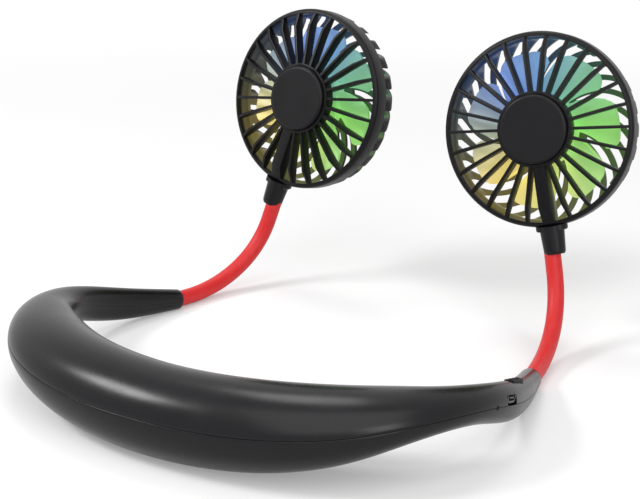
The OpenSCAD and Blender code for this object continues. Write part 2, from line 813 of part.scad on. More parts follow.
module rear_grille() {
    color(black) {
        difference() {
            rotate_extrude() dish_profile(rear_r, back_z, rear_round, -rim_deep);
            rotate_extrude()
                dish_profile(rear_r - rear_wall, back_z + rear_wall, rear_round - rear_wall, -rim_deep + 1);
            for (i = [0:slats - 1]) rotate([0, 0, i * 360 / slats]) translate([0, 0, back_z - 1])
                linear_extrude(slot_start - back_z + 1) slot_outline();
        }
        for (i = [0:3]) rotate([0, 0, 45 + i * 90]) rotate_extrude(angle = lug_angle) lug_profile();
    }
}

// Collar: a lip against the rim and a tapered socket for the hose
lip_h = 1.8;
lip_edge = 0.7;
collar_edge = 1;

module collar() {
    color(black) difference() {
        translate([0, 0, stem_z]) rotate([90, 0, 0]) {
            intersection() {
                translate([0, 0, head_d / 2 - 2]) linear_extrude(lip_h + 2) rotate(90)
                    stadium(lip_w, rim_deep + 1);
                translate([0, 0, head_d / 2 + lip_h - lip_w])
                    cylinder(r1 = 1.5 * lip_w - lip_edge, r2 = lip_w / 2 - lip_edge, h = lip_w);
            }
            translate([0, 0, head_d / 2]) cylinder(d1 = collar_top_d, d2 = collar_end_d,
                                                   h = stem_l - collar_edge - head_d / 2);
            translate([0, 0, stem_l - collar_edge])
                cylinder(d1 = collar_end_d, d2 = collar_end_d - 1, h = collar_edge);
        }
        translate([0, 0, -2 * rim_deep]) cylinder(d = head_d, h = 4 * rim_deep);
        translate([0, -stem_l - 1, stem_z]) rotate([-90, 0, 0]) cylinder(d = hose_d + fit, h = hose_grip + 1);
        translate([0, -stem_l - 1, stem_z]) rotate([-90, 0, 0]) cylinder(d = hose_bore, h = stem_l);
    }
}

upper_shell();
lower_shell();
band_screws();
battery_cells();
control_board();
charging_socket();
speed_button();
button_switch();
charge_light();
band_wiring();
hose_ferrule(left);  // left_hose_ferrule
hose_root(left);  // left_hose_root
hose_link(left, 1);  // left_hose_link_1
hose_link(left, 2);  // left_hose_link_2
hose_link(left, 3);  // left_hose_link_3
hose_link(left, 4);  // left_hose_link_4
hose_link(left, 5);  // left_hose_link_5
hose_link(left, 6);  // left_hose_link_6
hose_link(left, 7);  // left_hose_link_7
hose_end(left);  // left_hose_end
on_head(left) collar();  // left_collar
on_head(left) front_grille();  // left_front_grille
on_head(left) hub_cap();  // left_hub_cap
on_head(left) light_board();  // left_light_board
on_head(left) lights();  // left_lights
on_head(left) motor();  // left_motor
on_head(left) motor_bush();  // left_motor_bush
on_head(left) motor_shaft();  // left_motor_shaft
on_head(left) impeller();  // left_impeller
on_head(left) rear_grille();  // left_rear_grille
hose_ferrule(right);  // right_hose_ferrule
hose_root(right);  // right_hose_root
hose_link(right, 1);  // right_hose_link_1
hose_link(right, 2);  // right_hose_link_2
hose_link(right, 3);  // right_hose_link_3
hose_link(right, 4);  // right_hose_link_4
hose_link(right, 5);  // right_hose_link_5
hose_link(right, 6);  // right_hose_link_6
hose_link(right, 7);  // right_hose_link_7
hose_end(right);  // right_hose_end
on_head(right) collar();  // right_collar
on_head(right) front_grille();  // right_front_grille
on_head(right) hub_cap();  // right_hub_cap
on_head(right) light_board();  // right_light_board
on_head(right) lights();  // right_lights
on_head(right) motor();  // right_motor
on_head(right) motor_bush();  // right_motor_bush
on_head(right) motor_shaft();  // right_motor_shaft
on_head(right) impeller();  // right_impeller
on_head(right) rear_grille();  // right_rear_grille
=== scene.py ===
"""Dresses the electric neck fan: a horseshoe band, two bendable hoses and two caged, lit fan heads.

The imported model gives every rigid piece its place. This script adds smooth shells, hoses and impellers and
soft-edged grilles, gives each piece its finish, and sets up the floor, the lights and the camera.
"""

import json
import logging
import math
from dataclasses import dataclass
from enum import Enum
from typing import Any, Callable, Iterable, Sequence

import bpy
from mathutils import Matrix, Vector


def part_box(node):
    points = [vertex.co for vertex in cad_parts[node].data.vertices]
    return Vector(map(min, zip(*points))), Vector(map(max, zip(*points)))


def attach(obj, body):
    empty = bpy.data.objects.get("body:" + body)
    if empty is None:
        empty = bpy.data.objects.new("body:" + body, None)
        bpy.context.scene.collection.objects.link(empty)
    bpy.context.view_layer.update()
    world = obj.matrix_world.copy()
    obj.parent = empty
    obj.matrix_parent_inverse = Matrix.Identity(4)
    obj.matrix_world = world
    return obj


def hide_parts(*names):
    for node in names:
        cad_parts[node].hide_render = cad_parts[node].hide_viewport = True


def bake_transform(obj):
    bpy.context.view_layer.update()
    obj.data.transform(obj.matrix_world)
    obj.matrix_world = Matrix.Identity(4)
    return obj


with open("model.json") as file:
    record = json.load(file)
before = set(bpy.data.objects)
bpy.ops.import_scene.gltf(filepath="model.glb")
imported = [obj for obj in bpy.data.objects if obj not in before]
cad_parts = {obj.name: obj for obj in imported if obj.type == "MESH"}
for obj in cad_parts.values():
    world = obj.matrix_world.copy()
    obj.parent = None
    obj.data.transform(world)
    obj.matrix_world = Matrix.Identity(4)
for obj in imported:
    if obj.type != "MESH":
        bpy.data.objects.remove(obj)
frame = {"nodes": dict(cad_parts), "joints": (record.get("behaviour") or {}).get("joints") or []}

LOG = logging.getLogger("neck_fan")
MM = 0.001
# Points nearer to each other than this are one point.
SAME_POINT = 1e-6
# Faces that differ by less than this are one flat face.
FLAT = math.radians(0.5)
# Edges that turn by more than this are rounded.
SHARP = math.radians(50)
# An opening of this length goes through any wall of the band.
THROUGH = 20 * MM
Colour = tuple[float, float, float]
Values = dict[int | str, Any]
Piece = bpy.types.Object
Material = bpy.types.Material
Socket = bpy.types.NodeSocket
BLACK: Colour = (0.0, 0.0, 0.0)
WHITE: Colour = (1.0, 1.0, 1.0)


class Side(Enum):
    """The two arms of the band, by the sign of their X."""

    LEFT = -1
    RIGHT = 1

    @property
    def word(self) -> str:
        """Returns the word that node and body names start with."""
        return self.name.lower()

    def mirrored(self, point: Vector) -> Vector:
        """Returns a point of the right side moved to this side."""
        return Vector((point.x * self.value, point.y, point.z))


@dataclass(frozen=True)
class Term:
    """An output socket with a number that takes part in Python expressions."""

    graph: "Graph"
    socket: Socket

    def _math(self, operation: str, *values: Any) -> "Term":
        """Returns the result of a Math node on the given values."""
        return self.graph.term("ShaderNodeMath", {"operation": operation}, dict(enumerate(values)))

    def __add__(self, other: Any) -> "Term":
        """Returns the sum."""
        return self._math("ADD", self, other)

    def __sub__(self, other: Any) -> "Term":
        """Returns the difference."""
        return self._math("SUBTRACT", self, other)

    def __rsub__(self, other: Any) -> "Term":
        """Returns the difference with this term taken away."""
        return self._math("SUBTRACT", other, self)

    def __mul__(self, other: Any) -> "Term":
        """Returns the product."""
        return self._math("MULTIPLY", self, other)

    def angle(self, across: "Term") -> "Term":
        """Returns the angle of a direction with this term up, in radians from -pi to pi."""
        return self._math("ARCTAN2", self, across)

    def length(self, up: "Term") -> "Term":
        """Returns the length of a direction with this term across."""
        return self._math("SQRT", self * self + up * up)

    def either(self, other: "Term") -> "Term":
        """Returns the larger of two terms."""
        return self._math("MAXIMUM", self, other)

    def between(self, low: float, high: float) -> "Term":
        """Returns 0 below low, 1 above high and a smooth step in between."""
        return self.graph.term(
            "ShaderNodeMapRange", {"interpolation_type": "SMOOTHSTEP"}, {0: self, 1: low, 2: high}
        )


class Graph:
    """The node tree of a material or of the world."""

    def __init__(self, owner: Material | bpy.types.World) -> None:
        """Empties the tree of a material or of the world."""
        self.owner = owner
        owner.use_nodes = True
        self.tree = owner.node_tree
        self.tree.nodes.clear()

    def node(self, kind: str, settings: Values | None = None, inputs: Values | None = None) -> bpy.types.Node:
        """Adds a node.

        Args:
            kind: the node's type.
            settings: its settings, with a ramp's stops under "stops".
            inputs: the values or links of its sockets, by name or number.

        Returns:
            The new node.
        """
        made = self.tree.nodes.new(kind)
        for key, value in (settings or {}).items():
            if key == "stops":
                elements = made.color_ramp.elements
                for place, (position, colour) in enumerate(value):
                    stop = elements[place] if place < 2 else elements.new(position)
                    stop.position = position
                    stop.color = (*colour, 1.0)
            else:
                setattr(made, key, value)
        for key, value in (inputs or {}).items():
            if isinstance(value, Term):
                self.tree.links.new(value.socket, made.inputs[key])
            elif isinstance(value, Socket):
                self.tree.links.new(value, made.inputs[key])
            else:
                made.inputs[key].default_value = value
        return made

    def term(self, kind: str, settings: Values, inputs: Values, output: int | str = 0) -> Term:
        """Adds a node and returns one of its outputs as a term."""
        return Term(self, self.node(kind, settings, inputs).outputs[output])

    def shader(self, kind: str, inputs: Values) -> Socket:
        """Adds a shader node and returns its shader."""
        return self.node(kind, {}, inputs).outputs[0]

    def position(self) -> Socket:
        """Returns the Object coordinates, in metres in the row frame."""
        return self.node("ShaderNodeTexCoord").outputs["Object"]

    def noise(self, cell: float, detail: float = 2.0) -> Term:
        """Returns a noise pattern of blotches of a size in metres, with a number of finer layers."""
        inputs = {"Vector": self.position(), "Scale": 1.0 / cell, "Detail": detail}
        return self.term("ShaderNodeTexNoise", {}, inputs, "Fac")

    def bump(self, height: Term, depth: float) -> Socket:
        """Returns a normal bumped by a pattern from 0 to 1, to a depth in metres."""
        inputs = {"Strength": 1.0, "Distance": depth, "Height": height}
        return self.node("ShaderNodeBump", {}, inputs).outputs["Normal"]

    def mix(self, share: Any, low: Any, high: Any) -> Socket:
        """Returns a colour between two colours or colour links."""
        made = self.node("ShaderNodeMix", {"data_type": "RGBA"}, {0: share})
        for socket, value in ((made.inputs[6], low), (made.inputs[7], high)):
            if isinstance(value, Socket):
                self.tree.links.new(value, socket)
            else:
                socket.default_value = (*value, 1.0)
        return made.outputs[2]

    def seen(self) -> Term:
        """Returns 1 for a ray from the camera, a mirrored ray and a ray that passed through, else 0."""
        outputs = self.node("ShaderNodeLightPath").outputs
        camera, mirrored, passed = (
            Term(self, outputs[ray]) for ray in ("Is Camera Ray", "Is Glossy Ray", "Is Transmission Ray")
        )
        return camera.either(mirrored).either(passed)

    def surface(self, shader: Socket, kind: str = "ShaderNodeOutputMaterial") -> Material | bpy.types.World:
        """Joins a shader to the output and returns what the tree belongs to."""
        output = self.node(kind)
        self.tree.links.new(shader, output.inputs["Surface"])
        return self.owner


@dataclass(frozen=True)
class Finish:
    """A finish of the object. Its build method makes the material.

    Attributes:
        name: the material's name.
        tint: the base colour.
        gloss: the roughness, where the surface is at its shiniest.
        haze: how much rougher the dull patches are.
        shine: the strength of its reflections, 0.5 for common plastic.
    """

    name: str
    tint: Colour
    gloss: float = 0.34
    haze: float = 0.08
    shine: float = 0.5

    def graph(self) -> Graph:
        """Starts the material with an empty node tree."""
        return Graph(bpy.data.materials.new(self.name))

    def build(self) -> Material:
        """Makes the material."""
        raise NotImplementedError


@dataclass(frozen=True)
class MouldedPlastic(Finish):
    """Moulded plastic with a fine spark texture and uneven gloss.

    Attributes:
        patch: the size of the dull patches, in metres.
        grain: the size of the spark texture, in metres.
        depth: the depth of the spark texture, in metres.
    """

    patch: float = 14 * MM
    grain: float = 0.35 * MM
    depth: float = 0.006 * MM

    def build(self) -> Material:
        """Makes the material."""
        graph = self.graph()
        patches = graph.noise(self.patch, 4.0)
        grain = graph.noise(self.grain, 1.0)
        paler = tuple(1.25 * part + 0.001 for part in self.tint)
        inputs = {
            "Base Color": graph.mix(patches, self.tint, paler),
            "Roughness": patches.between(0.25, 0.75) * self.haze + self.gloss + grain * 0.03,
            "Normal": graph.bump(grain, self.depth),
            "Specular IOR Level": self.shine,
        }
        return graph.surface(graph.shader("ShaderNodeBsdfPrincipled", inputs))


@dataclass(frozen=True, kw_only=True)
class Silicone(Finish):
    """Soft coloured silicone with a faint dusty haze.

    Attributes:
        dust: the colour that the haze turns it to.
        softness: the share of the light that travels under the surface.
        bleed: how far red, green and blue light travel under the surface, in metres.
    """

    dust: Colour
    softness: float = 0.08
    bleed: tuple[float, float, float] = (4 * MM, 1 * MM, 1 * MM)

    def build(self) -> Material:
        """Makes the material."""
        graph = self.graph()
        haze = graph.noise(5 * MM, 5.0)
        grain = graph.noise(0.25 * MM, 1.0)
        inputs = {
            "Base Color": graph.mix(haze.between(0.35, 0.85) * 0.5, self.tint, self.dust),
            "Roughness": haze * self.haze + self.gloss,
            "Specular IOR Level": self.shine,
            "Normal": graph.bump(grain, 0.008 * MM),
            "Subsurface Weight": self.softness,
            "Subsurface Radius": self.bleed,
        }
        return graph.surface(graph.shader("ShaderNodeBsdfPrincipled", inputs))


@dataclass(frozen=True)
class Metal(Finish):
    """Drawn or turned metal with fine lines."""

    haze: float = 0.12

    def build(self) -> Material:
        """Makes the material."""
        graph = self.graph()
        lines = graph.noise(0.3 * MM, 3.0)
        darker = tuple(0.8 * part for part in self.tint)
        inputs = {
            "Base Color": graph.mix(lines, self.tint, darker),
            "Roughness": lines * self.haze + self.gloss,
            "Metallic": 1.0,
            "Normal": graph.bump(lines, 0.004 * MM),
        }
        return graph.surface(graph.shader("ShaderNodeBsdfPrincipled", inputs))


@dataclass(frozen=True)
class Glow:
    """One of the coloured lights round the hub, whose light is painted on the head's parts as emission.

    Attributes:
        clock: its direction round the head's axis, in degrees from the head's +X towards its +Y.
        colour: the colour that it throws, painted on as emission.
    """

    clock: float
    colour: Colour


# Painted light: the colours of the hub's lamps, painted as emission on the blades and the grilles by direction
# round the axis.
PAINTED_GLOWS = (
    Glow(-180.0, (0.40, 0.44, 0.32)),
    Glow(-140.0, (0.92, 0.74, 0.22)),
    Glow(-95.0, (0.90, 0.84, 0.30)),
    Glow(-50.0, (0.42, 0.72, 0.22)),
    Glow(0.0, (0.27, 0.68, 0.15)),
    Glow(45.0, (0.20, 0.50, 0.32)),
    Glow(85.0, (0.15, 0.33, 0.60)),
    Glow(125.0, (0.13, 0.24, 0.66)),
    Glow(155.0, (0.25, 0.33, 0.42)),
    Glow(180.0, (0.40, 0.44, 0.32)),
)


@dataclass(frozen=True)
class HeadPose:
    """Where one head stands: the middle of its opening and its three axes."""

    centre: Vector
    across: Vector
    up: Vector
    facing: Vector

    def matrix(self) -> Matrix:
        """Returns the turn from the head's own frame to the row frame."""
        return Matrix((self.across, self.up, self.facing)).transposed()

    def place(self) -> Matrix:
        """Returns the whole move from the head's own frame to the row frame."""
        return Matrix.Translation(self.centre) @ self.matrix().to_4x4()


@dataclass(frozen=True, kw_only=True)
class LitPlastic(Finish):
    """Plastic with the coloured lights round the hub painted on it: a painted glow as emission, and painted
    light in the base colour.

    Attributes:
        pose: the head that it belongs to.
        glow: the strength of the painted light on it, given as emission.
        clear: how much light passes through it.
        body: the share of the light's colour painted into the base colour.
        depth: the heights in the head's frame between which the painted light comes in, or None for all of it.
        reach: the radii between which the painted light ends, given together with the depth.
    """

    pose: HeadPose
    glow: float
    clear: float = 0.0
    body: float = 0.0
    depth: tuple[float, float] | None = None
    reach: tuple[float, float] | None = None

    def build(self) -> Material:
        """Makes the material."""
        graph = self.graph()
        turn = self.pose.matrix().to_euler()
        place = {"Vector": graph.position(), "Location": self.pose.centre, "Rotation": turn}
        local = graph.node("ShaderNodeMapping", {"vector_type": "TEXTURE"}, place).outputs[0]
        across, up, height = (graph.term("ShaderNodeSeparateXYZ", {}, {0: local}, axis) for axis in "XYZ")
        clock = up.angle(across) * (1 / math.tau) + 0.5
        stops = [((light.clock + 180) / 360, light.colour) for light in PAINTED_GLOWS]
        shown = colour = graph.node("ShaderNodeValToRGB", {"stops": stops}, {"Fac": clock}).outputs["Color"]
        # Painted light: the share of the part where the lamps' light is painted, as emission and in the base
        # colour.
        painted_light_share: Term | float = 1.0
        if self.depth and self.reach:
            painted_light_share = height.between(*self.depth) * (1 - across.length(up).between(*self.reach))
            colour = graph.mix(painted_light_share, BLACK, shown)
        rough = graph.noise(2 * MM, 3.0)
        inputs = {
            "Base Color": graph.mix(painted_light_share * self.body, self.tint, shown),
            "Roughness": rough * self.haze + self.gloss,
            "Specular IOR Level": self.shine,
            "Emission Color": colour,
            "Emission Strength": self.glow,
            "Normal": graph.bump(graph.noise(0.4 * MM, 1.0), 0.004 * MM),
        }
        solid = graph.shader("ShaderNodeBsdfPrincipled", inputs)
        if not self.clear:
            return graph.surface(solid)
        pale = graph.shader("ShaderNodeBsdfTranslucent", {"Color": (*self.tint, 1.0)})
        return graph.surface(graph.shader("ShaderNodeMixShader", {0: self.clear, 1: solid, 2: pale}))


def clear_selection() -> None:
    """Deselects every object."""
    bpy.ops.object.select_all(action="DESELECT")


def activate(piece: Piece) -> None:
    """Selects one piece alone and makes it the active one."""
    clear_selection()
    piece.select_set(True)
    bpy.context.view_layer.objects.active = piece


def sheet_through(name: str, rings: Sequence[Sequence[Vector]]) -> Piece:
    """Shapes a grid into a closed tube through rings of points.

    Args:
        name: the new object's name.
        rings: the rings, each with the same number of points.

    Returns:
        The new object, closed at both ends.
    """
    clear_selection()
    rows, columns = len(rings), len(rings[0])
    bpy.ops.mesh.primitive_grid_add(x_subdivisions=columns, y_subdivisions=rows - 1, size=1.0)
    piece = bpy.context.active_object
    piece.name = piece.data.name = name
    for vertex in piece.data.vertices:
        row = round((vertex.co.y + 0.5) * (rows - 1))
        column = round((vertex.co.x + 0.5) * columns) % columns
        vertex.co = rings[row][column]
    bpy.ops.object.mode_set(mode="EDIT")
    bpy.ops.mesh.select_all(action="SELECT")
    bpy.ops.mesh.remove_doubles(threshold=SAME_POINT)
    bpy.ops.mesh.fill_holes(sides=0)
    bpy.ops.mesh.select_all(action="SELECT")
    bpy.ops.mesh.normals_make_consistent(inside=False)
    bpy.ops.object.mode_set(mode="OBJECT")
    return piece


def select_faces(piece: Piece, wanted: Callable[[bpy.types.MeshPolygon], bool]) -> None:
    """Selects the faces of a mesh that pass a test, and nothing else of it."""
    for group in (piece.data.vertices, piece.data.edges, piece.data.polygons):
        for part in group:
            part.select = False
    for face in piece.data.polygons:
        face.select = wanted(face)


def joined(name: str, parts: Iterable[Piece]) -> Piece:
    """Joins pieces into the first of them, gives it a name and returns it."""
    clear_selection()
    kept = None
    for part in parts:
        part.select_set(True)
        kept = kept or part
    bpy.context.view_layer.objects.active = kept
    bpy.ops.object.join()
    kept.name = kept.data.name = name
    return kept


def smooth(piece: Piece, angle: float = 40.0) -> None:
    """Shades a piece smooth, with its edges kept sharp past an angle in degrees."""
    activate(piece)
    bpy.ops.object.shade_smooth_by_angle(angle=math.radians(angle))


def cut(piece: Piece, cutter: Piece) -> None:
    """Cuts one closed piece out of another and deletes the cutter."""
    activate(piece)
    hole = piece.modifiers.new("hole", "BOOLEAN")
    hole.operation = "DIFFERENCE"
    hole.solver = "EXACT"
    hole.object = cutter
    bpy.ops.object.modifier_apply(modifier=hole.name)
    bpy.data.objects.remove(cutter, do_unlink=True)


def bevel(piece: Piece, width: float, segments: int) -> None:
    """Rounds the sharp edges of the active piece, to a width in metres and with a number of faces across."""
    edge = piece.modifiers.new("edge", "BEVEL")
    edge.width, edge.segments = width, segments
    edge.limit_method, edge.angle_limit = "ANGLE", SHARP
    bpy.ops.object.modifier_apply(modifier=edge.name)


def prism(sides: tuple[float, float], corner: float, low: float, high: float) -> Piece:
    """Builds an upright prism with rounded corners, centred on Z, from a low to a high end."""
    clear_selection()
    corners = 48
    bpy.ops.mesh.primitive_cylinder_add(
        vertices=corners, radius=corner, depth=high - low, location=(0, 0, (low + high) / 2)
    )
    bar = bpy.context.active_object
    bpy.ops.object.transform_apply(location=True, rotation=True, scale=True)
    bar.data.transform(Matrix.Rotation(math.pi / corners, 4, "Z"))
    for vertex in bar.data.vertices:
        vertex.co.x += math.copysign(sides[0] / 2 - corner, vertex.co.x)
        vertex.co.y += math.copysign(sides[1] / 2 - corner, vertex.co.y)
    return bar


def dress(node: str, material: Material) -> None:
    """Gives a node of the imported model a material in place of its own."""
    piece = frame["nodes"][node]
    piece.data.materials.clear()
    piece.data.materials.append(material)


def soften(node: str, body: str, width: float) -> None:
    """Puts a copy of a node, with edges softened to a width in metres, in its place on its body."""
    piece = frame["nodes"][node].copy()
    piece.data = piece.data.copy()
    piece.name = piece.data.name = f"{node}_skin"
    bpy.context.collection.objects.link(piece)
    activate(piece)
    bpy.ops.object.mode_set(mode="EDIT")
    bpy.ops.mesh.select_all(action="SELECT")
    bpy.ops.mesh.remove_doubles(threshold=SAME_POINT)
    bpy.ops.mesh.dissolve_limited(angle_limit=FLAT)
    bpy.ops.object.mode_set(mode="OBJECT")
    bevel(piece, width, 2)
    smooth(piece)
    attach(piece, body)
    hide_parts(node)
    LOG.info("%s: %d faces", piece.name, len(piece.data.polygons))


@dataclass(frozen=True)
class Section:
    """The band's oval section at one place along an arm: its middle, half thickness and half height."""

    centre: Vector
    half_t: float
    half_h: float


@dataclass(frozen=True)
class Band:
    """The neck band: two shells that meet at a parting line, deep outside and fine inside the horseshoe.

    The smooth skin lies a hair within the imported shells. The centreline is a uniform cubic B-spline over nine
    stations of one arm, from the middle of the back to the tip. Each is given as shares of the band's sizes.
    """

    spread: float = 94.4 * MM
    reach: float = 119 * MM
    back_t: float = 34 * MM
    back_h: float = 32 * MM
    arch_h: float = 16 * MM
    tip_d: float = 8.6 * MM
    wall: float = 1.8 * MM
    groove: float = 0.3 * MM
    inner_groove: float = 0.06 * MM
    skin: float = 0.04 * MM
    seat_cut: float = 0.25 * MM
    tip_round: float = 1.0 * MM
    part_back: float = 12.2
    part_tip: float = -1.2
    path_x: tuple[float, ...] = (0, 0.37, 0.64, 0.805, 0.92, 0.985, 1, 0.965, 0.885)
    path_y: tuple[float, ...] = (0, 0.036, 0.122, 0.224, 0.33, 0.458, 0.6, 0.773, 1)
    path_lift: tuple[float, ...] = (-0.03, 0.065, 0.38, 0.83, 1, 0.855, 0.45, 0.09, 0)
    path_t: tuple[float, ...] = (0.99, 1.02, 0.995, 0.83, 0.58, 0.405, 0.33, 0.29)
    path_h: tuple[float, ...] = (1, 0.975, 0.825, 0.57, 0.425, 0.415, 0.47, 0.44)
    rows: int = 9
    outer: int = 44
    inner: int = 12
    tip_rows: int = 4
    stride: float = 0.01
    lip_depth: float = 1.6
    lip_steps: tuple[tuple[float, float], ...] = ((0.15, 0.6), (0.5, 0.15))

    def _row(self, station: int) -> tuple[float, float, float, float, float]:
        """Returns x, y, z, half thickness and half height of a control station."""
        last = len(self.path_x) - 1
        if station < 0:
            x, *rest = self._row(-station)
            return (-x, *rest)
        if station > last:
            return tuple(2 * a - b for a, b in zip(self._row(last), self._row(last - 1)))
        tip = station == last
        half_t = self.tip_d / 2 if tip else self.back_t / 2 * self.path_t[station]
        half_h = self.tip_d / 2 if tip else self.back_h / 2 * self.path_h[station]
        shift = self.reach * (self.path_y[1] - self.path_y[0]) / 3
        return (
            self.spread * self.path_x[station],
            self.reach * self.path_y[station] - shift,
            self.arch_h * self.path_lift[station] + half_h - self.seat_cut,
            half_t,
            half_h,
        )

    @property
    def tip(self) -> float:
        """Returns the station of the arm's tip."""
        return len(self.path_x) - 1

    def section(self, at: float) -> Section:
        """Returns the section at a station of the right arm, from 0 at the back to the tip."""
        first = min(int(at), len(self.path_x) - 2)
        t = at - first
        s = 1 - t
        weights = (
            s**3 / 6,
            (3 * t**3 - 6 * t**2 + 4) / 6,
            (3 * s**3 - 6 * s**2 + 4) / 6,
            t**3 / 6,
        )
        rows = [self._row(first + step) for step in (-1, 0, 1, 2)]
        x, y, z, half_t, half_h = (sum(w * row[part] for w, row in zip(weights, rows)) for part in range(5))
        return Section(Vector((x, y, z)), half_t, half_h)

    def axes(self, at: float) -> tuple[Vector, Vector, Vector]:
        """Returns the outward, forward and upward directions at a station of the right arm."""
        near, far = max(at - self.stride, 0.0), min(at + self.stride, self.tip)
        forward = (self.section(far).centre - self.section(near).centre).normalized()
        outward = Vector((forward.y, -forward.x, 0.0)).normalized()
        return outward, forward, outward.cross(forward)

    def part_angle(self, at: float) -> float:
        """Returns the angle of the parting line over the section's middle, in degrees."""
        return self.part_back + (self.part_tip - self.part_back) * at / self.tip

    def point(self, at: float, angle: float, inset: float) -> Vector:
        """Returns a point on the skin, moved in by a depth. A negative station is on the left arm."""
        station = abs(at)
        section = self.section(station)
        outward, _, upward = self.axes(station)
        turn = math.radians(angle)
        inset += self.skin
        place = section.centre + (section.half_t - inset) * math.cos(turn) * outward
        place = place + (section.half_h - inset) * math.sin(turn) * upward
        place.z = max(place.z, 0.0)
        return Side.LEFT.mirrored(place) if at < 0 else place

    def part_height(self, at: float) -> float:
        """Returns the height of the parting line over the section's middle."""
        return self.section(at).half_h * math.sin(math.radians(self.part_angle(at)))

    def frame(self, at: float, side: Side, outward_up: bool = False) -> Matrix:
        """Returns the frame at a station: x outward, y forward, z upward.

        Args:
            at: the station.
            side: the arm.
            outward_up: whether the frame is turned to x forward, y upward, z outward.
        """
        outward, forward, upward = self.axes(at)
        axes = (forward, upward, outward) if outward_up else (outward, forward, upward)
        columns = [side.mirrored(axis) for axis in axes]
        columns[0] = columns[0] * side.value
        turn = Matrix(columns).transposed().to_4x4()
        return Matrix.Translation(side.mirrored(self.section(at).centre)) @ turn

    def _ring(self, at: float, up: int, edge: float) -> list[Vector]:
        """Returns the outline of one shell at a station, with both its edges rounded to the parting line."""
        station = abs(at)
        start = self.part_angle(station) * up
        span = 180 - 2 * start
        lip = math.degrees(math.atan(self.groove / self.section(station).half_t))
        ring = [self.point(at, up * start, edge + self.groove * self.lip_depth)]
        for angle, inset in self.lip_steps:
            ring.append(self.point(at, up * (start + lip * angle), edge + self.groove * inset))
        for step in range(self.outer + 1):
            ring.append(self.point(at, up * (start + lip + (span - 2 * lip) * step / self.outer), edge))
        for angle, inset in reversed(self.lip_steps):
            ring.append(self.point(at, up * (start + span - lip * angle), edge + self.inner_groove * inset))
        ring.append(self.point(at, up * (start + span), edge + self.inner_groove * self.lip_depth))
        for step in range(self.inner, -1, -1):
            ring.append(self.point(at, up * (start + span * step / self.inner), max(self.wall, edge)))
        return ring

    def _stations(self) -> list[tuple[float, float]]:
        """Returns the stations of the rings of a whole shell, each with how far its edge is drawn in."""
        stations = [(step / self.rows, 0.0) for step in range(int(self.tip * self.rows))]
        length = (self.section(self.tip).centre - self.section(self.tip - 1).centre).length
        for step in range(self.tip_rows + 1):
            turn = math.pi / 2 * step / self.tip_rows
            back = self.tip_round * (1 - math.sin(turn)) / length
            stations.append((self.tip - back, self.tip_round * (1 - math.cos(turn))))
        mirrored = [(-at, edge) for at, edge in reversed(stations[1:])]
        return mirrored + stations

    def shell(self, node: str, up: int, material: Material) -> Piece:
        """Builds one smooth shell, the upper one where up is 1 and the lower one where it is -1."""
        rings = [self._ring(at, up, edge) for at, edge in self._stations()]
        piece = sheet_through(f"{node}_skin", rings)
        for opening in BAND_OPENINGS:
            if up in opening.shells:
                for side in opening.sides:
                    cut(piece, opening.cutter(self, side))
        piece.data.materials.append(material)
        return piece


@dataclass(frozen=True)
class Opening:
    """A hole through one or both shells of the band.

    Attributes:
        at: its station.
        size: its size across and along, in metres.
        corner: the radius of its corners.
        reach: where it starts and ends along its own axis.
        centre: the place of its middle across and along, from the section's middle.
        sides: the arms that have it.
        shells: 1 for the upper shell and -1 for the lower one.
        outward: whether it runs out through the arm's side and not up or down.
        on_line: whether its centre is measured from the parting line.
        on_foot: whether its reach is measured from the underside.
    """

    at: float
    size: tuple[float, float]
    corner: float
    reach: tuple[float, float]
    centre: tuple[float, float] = (0.0, 0.0)
    sides: tuple[Side, ...] = (Side.RIGHT,)
    shells: tuple[int, ...] = (1,)
    outward: bool = False
    on_line: bool = False
    on_foot: bool = False

    def cutter(self, band: Band, side: Side) -> Piece:
        """Builds the solid that is cut out of a shell of the band, in its place on one arm."""
        foot = -band.section(self.at).half_h if self.on_foot else 0.0
        bar = prism(self.size, self.corner, foot + self.reach[0], foot + self.reach[1])
        line = band.part_height(self.at) if self.on_line else 0.0
        shift = Matrix.Translation((self.centre[0], self.centre[1] + line, 0.0))
        bar.data.transform(band.frame(self.at, side, self.outward) @ shift)
        return bar


def screw_hole(at: float) -> Opening:
    """Returns the recess of a band screw at a station of both arms."""
    return Opening(
        at=at,
        size=(3.8 * MM, 3.8 * MM),
        corner=1.9 * MM,
        reach=(-1.8 * MM, 3.4 * MM),
        sides=tuple(Side),
        shells=(-1,),
        on_foot=True,
    )


BUTTON_SLOT = Opening(
    at=6.1,
    size=(4.4 * MM, 12.4 * MM),
    corner=2.2 * MM,
    reach=(3.5 * MM, THROUGH),
    centre=(0, 7.6 * MM),
)
SOCKET_WINDOW = Opening(
    at=6.1,
    size=(8.5 * MM, 4.0 * MM),
    corner=0.5 * MM,
    reach=(2.1 * MM, THROUGH),
    centre=(-6.6 * MM, 1.5 * MM),
    outward=True,
    on_line=True,
)
LIGHT_HOLE = Opening(
    at=5.18,
    size=(1.7 * MM, 1.7 * MM),
    corner=0.85 * MM,
    reach=(0, THROUGH),
    shells=(1, -1),
    outward=True,
    on_line=True,
)
BAND_OPENINGS = (BUTTON_SLOT, SOCKET_WINDOW, LIGHT_HOLE, screw_hole(2.9), screw_hole(4.5))


def head_pose(side: Side) -> HeadPose:
    """Works out where the head of one side stands, from its spin joint and its collar."""
    spin = next(joint for joint in frame["joints"] if joint["name"] == f"{side.word}_impeller_spin")
    centre = Vector(spin["pos_m"])
    facing = Vector(spin["axis"]).normalized()
    low, high = (Vector(corner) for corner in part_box(f"{side.word}_collar"))
    stem = centre - (low + high) / 2
    up = (stem - stem.dot(facing) * facing).normalized()
    return HeadPose(centre, up.cross(facing), up, facing)


